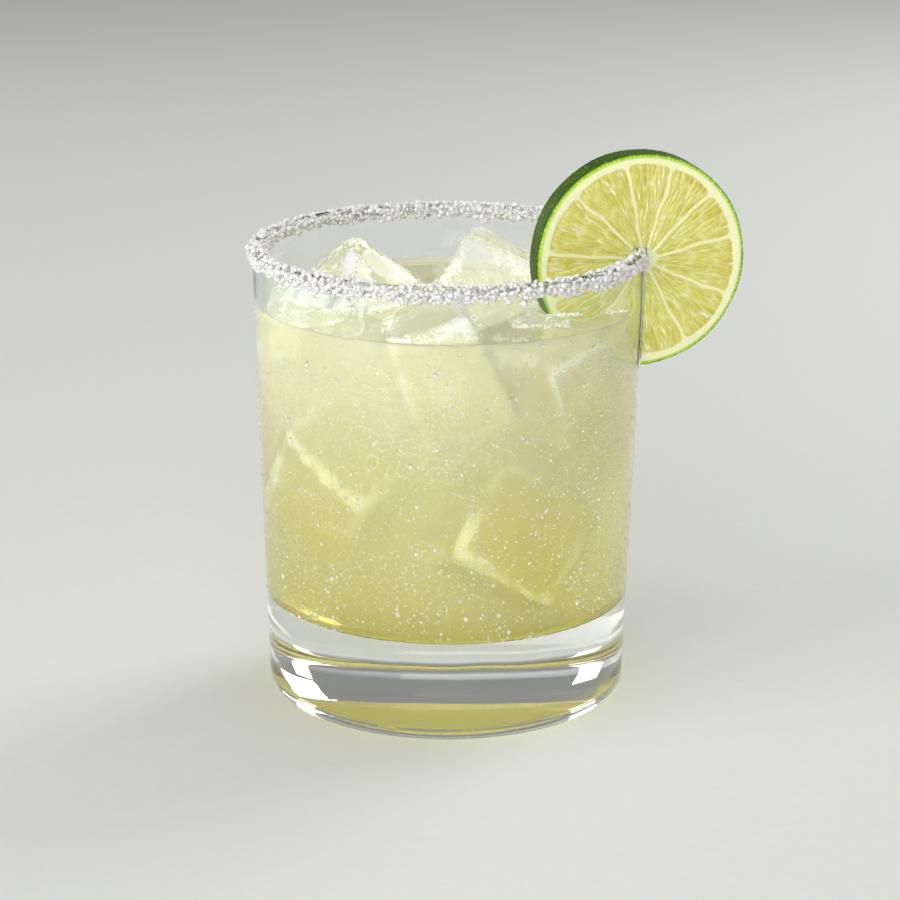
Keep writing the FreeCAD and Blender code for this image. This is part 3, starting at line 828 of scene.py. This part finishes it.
for _ in range(FROTH_BY_LIME):
    along = rng.uniform(-20.0, 1.0) * MM
    side = rng.choice((-1.0, 1.0)) * (WHEEL_HALF + 0.1 * MM)
    spot = WHEEL_CENTRE + WHEEL_ACROSS * along + WHEEL_FRONT * side
    froth_line.append(np.array((spot.x, spot.y, LEVEL)))
picks = rng.integers(0, len(froth_line), size=FROTH_TRIES)
for pick in picks:
    spot = froth_line[pick]
    patch = noise.noise(Vector(spot) / (6 * MM))
    if patch < rng.uniform(-0.3, 0.4):
        continue
    radius = FROTH * float(np.clip(rng.lognormal(0.0, 0.4), 0.5, 2.4))
    aside = rng.normal(0, 0.7, size=2) * MM
    if math.hypot(spot[0] + aside[0], spot[1] + aside[1]) > cavity_radius(LEVEL) - radius:
        continue
    centres.append(np.array((spot[0] + aside[0], spot[1] + aside[1], LEVEL + 0.2 * radius)))
    sizes.append(radius)
centres, sizes = np.array(centres), np.array(sizes)
bubbles = scatter("air_bubbles", corners[None, :, :], triangles, centres,
                  random_turns(rng, len(centres)), np.repeat(sizes[:, None], 3, axis=1))

# Trapped air: a bright shell with a clear middle.
air_finish, shader = new_material("trapped_air_bubbles", {
    "Base Color": linear("#FFFFFA"), "Transmission Weight": 0.50, "IOR": 1.25})
place = add_node(air_finish, "ShaderNodeTexCoord").outputs["Object"]
film = add_node(air_finish, "ShaderNodeTexNoise", {"Scale": 1 / (0.5 * MM)}, {"Vector": place})
air_roughness = add_node(air_finish, "ShaderNodeMapRange", {"To Min": 0.0, "To Max": 0.2}, {
    "Value": film.outputs["Fac"]})
air_finish.node_tree.links.new(air_roughness.outputs[0], shader.inputs["Roughness"])
lit_through(air_finish)
dress(bubbles, air_finish, "ice")

# ---------------------------------------------------------------------------------------------------------
# Dew: drops of water condensed from the room's air on the cold outside of the wall, beside the drink only.
# Each is a low dome of its own, closed below, with its foot a hair off the glass.
# ---------------------------------------------------------------------------------------------------------
DROPS = 8000
DROP = 0.15 * MM
DROP_SIDES = 6
corners = []
for radius, height in [(1.0, 0.02), (0.78, 0.22)]:
    corners += [(radius * math.cos(2 * math.pi * step / DROP_SIDES),
                 radius * math.sin(2 * math.pi * step / DROP_SIDES), height) for step in range(DROP_SIDES)]
corners += [(0.0, 0.0, 0.32), (0.0, 0.0, 0.02)]
triangles = []
for step in range(DROP_SIDES):
    after = (step + 1) % DROP_SIDES
    a, b, c, d = step, after, DROP_SIDES + after, DROP_SIDES + step
    triangles += [(a, b, c), (a, c, d), (d, c, 2 * DROP_SIDES), (b, a, 2 * DROP_SIDES + 1)]
corners, triangles = np.array(corners), np.array(triangles)
centres, sizes, frames = [], [], []
while len(centres) < DROPS:
    around = rng.uniform(0, 2 * math.pi)
    height = rng.uniform(FLOOR + 1 * MM, LEVEL)
    ring = Vector((math.cos(around), math.sin(around), 0.0))
    spot = ring * side_radius(height) + Vector((0, 0, height))
    if noise.noise(spot / (9 * MM)) < rng.uniform(-0.6, 0.3):
        continue
    radius = DROP * float(np.clip(rng.lognormal(0.0, 0.45), 0.45, 4.5))
    centres.append(spot[:])
    sizes.append((radius, radius * rng.uniform(1.0, 1.25), radius))
    frames.append(np.array([(-ring.y, 0.0, ring.x), (ring.x, 0.0, ring.y), (0.0, 1.0, 0.0)]))
drops = scatter("dew_drops", corners[None, :, :], triangles, np.array(centres), np.array(frames),
                np.array(sizes))

# Condensed water: clear, with a fifth of it matt white, a painted highlight that shows the small drops as
# pale specks; some of them are softened by dust.
dew_finish, shader = new_material("water_condensed", {
    "Base Color": linear("#FFFFFC"), "Transmission Weight": 0.80, "IOR": 1.33})
place = add_node(dew_finish, "ShaderNodeTexCoord").outputs["Object"]
dust = add_node(dew_finish, "ShaderNodeTexNoise", {"Scale": 1 / (2 * MM)}, {"Vector": place})
dew_roughness = add_node(dew_finish, "ShaderNodeMapRange", {"To Min": 0.02, "To Max": 0.25}, {
    "Value": dust.outputs["Fac"]})
dew_finish.node_tree.links.new(dew_roughness.outputs[0], shader.inputs["Roughness"])
lit_through(dew_finish)
dress(drops, dew_finish, "glass")

# ---------------------------------------------------------------------------------------------------------
# Studio: a pale paper floor in a bright room, a big soft key behind on the right, wide soft lights from the
# left, the front and overhead, and two small cards behind whose reflections shape the heavy base.
# ---------------------------------------------------------------------------------------------------------
FLOOR_REACH = 6.0
mesh = bmesh.new()
bmesh.ops.create_grid(mesh, x_segments=1, y_segments=1, size=FLOOR_REACH)
floor = to_object("floor", mesh)
floor_finish, shader = new_material("pale_matt_paper", {"Roughness": 0.85})
place = add_node(floor_finish, "ShaderNodeTexCoord").outputs["Object"]
tooth = add_node(floor_finish, "ShaderNodeTexNoise", {
    "Scale": 1 / (3 * MM), "Detail": 4.0}, {"Vector": place})
paper = add_node(floor_finish, "ShaderNodeMix", {
    "data_type": "RGBA", 6: linear("#DDDED9"), 7: linear("#E2E3DE")}, {0: tooth.outputs["Fac"]})
floor_finish.node_tree.links.new(paper.outputs[2], shader.inputs["Base Color"])
floor.data.materials.append(floor_finish)

# The room is bright low down and dims upwards.
world = bpy.data.worlds.new("studio")
bpy.context.scene.world = world
world.use_nodes = True
world.node_tree.nodes["Background"].inputs["Color"].default_value = linear("#E6E7E8")
skyward = add_node(world, "ShaderNodeSeparateXYZ", {}, {
    0: add_node(world, "ShaderNodeTexCoord").outputs["Generated"]})
walls = add_node(world, "ShaderNodeMapRange", {
    "From Min": 0.02, "From Max": 0.22, "To Min": 0.85, "To Max": 0.30}, {"Value": skyward.outputs["Z"]})
world.node_tree.links.new(walls.outputs[0], world.node_tree.nodes["Background"].inputs["Strength"])


def softbox(name, place, aim, width, height, power):
    """A white studio softbox that faces a point."""
    lamp = bpy.data.lights.new(name, "AREA")
    lamp.shape = "RECTANGLE"
    lamp.size, lamp.size_y = width, height
    lamp.energy = power
    holder = bpy.data.objects.new(name, lamp)
    holder.location = place
    holder.rotation_euler = (Vector(aim) - Vector(place)).to_track_quat("-Z", "Y").to_euler()
    bpy.context.scene.collection.objects.link(holder)


HEART = (0.0, 0.0, 0.05)
softbox("key", (0.75, 0.65, 0.75), HEART, 0.55, 0.55, 6.2)
softbox("fill", (-0.9, -0.6, 0.6), HEART, 0.9, 0.9, 6.6)
softbox("front", (-0.20, -1.25, 0.50), HEART, 0.9, 0.9, 9.2)
softbox("overhead", (0.0, -0.1, 1.2), HEART, 0.9, 0.9, 2.0)
softbox("card_left", (-0.60, 0.75, 0.24), HEART, 0.22, 0.34, 0.35)
softbox("card_right", (0.62, 0.75, 0.22), HEART, 0.16, 0.34, 0.25)

# The camera looks down a little from the front, through a long lens.
CAMERA_PLACE = (0.0, -0.650, 0.24418)
LOOKS_DOWN = 0.28558
TURNED_ASIDE = -0.0009
TIPPED = 0.00636
camera_data = bpy.data.cameras.new("camera")
camera_data.sensor_width = 36.0
camera_data.lens = 124.46
camera = bpy.data.objects.new("camera", camera_data)
camera.location = CAMERA_PLACE
look = (Matrix.Rotation(TURNED_ASIDE, 3, "Z") @ Matrix.Rotation(math.pi / 2 - LOOKS_DOWN, 3, "X")
        @ Matrix.Rotation(TIPPED, 3, "Z"))
camera.rotation_euler = look.to_euler()
bpy.context.scene.collection.objects.link(camera)
bpy.context.scene.camera = camera
bpy.context.scene.view_settings.view_transform = "Standard"
# Light goes through many walls of glass, ice and air here, and is scattered many times in the drink.
bpy.context.scene.cycles.volume_bounces = 12
bpy.context.scene.cycles.max_bounces = 24
bpy.context.scene.cycles.transmission_bounces = 24
bpy.context.scene.cycles.transparent_max_bounces = 48
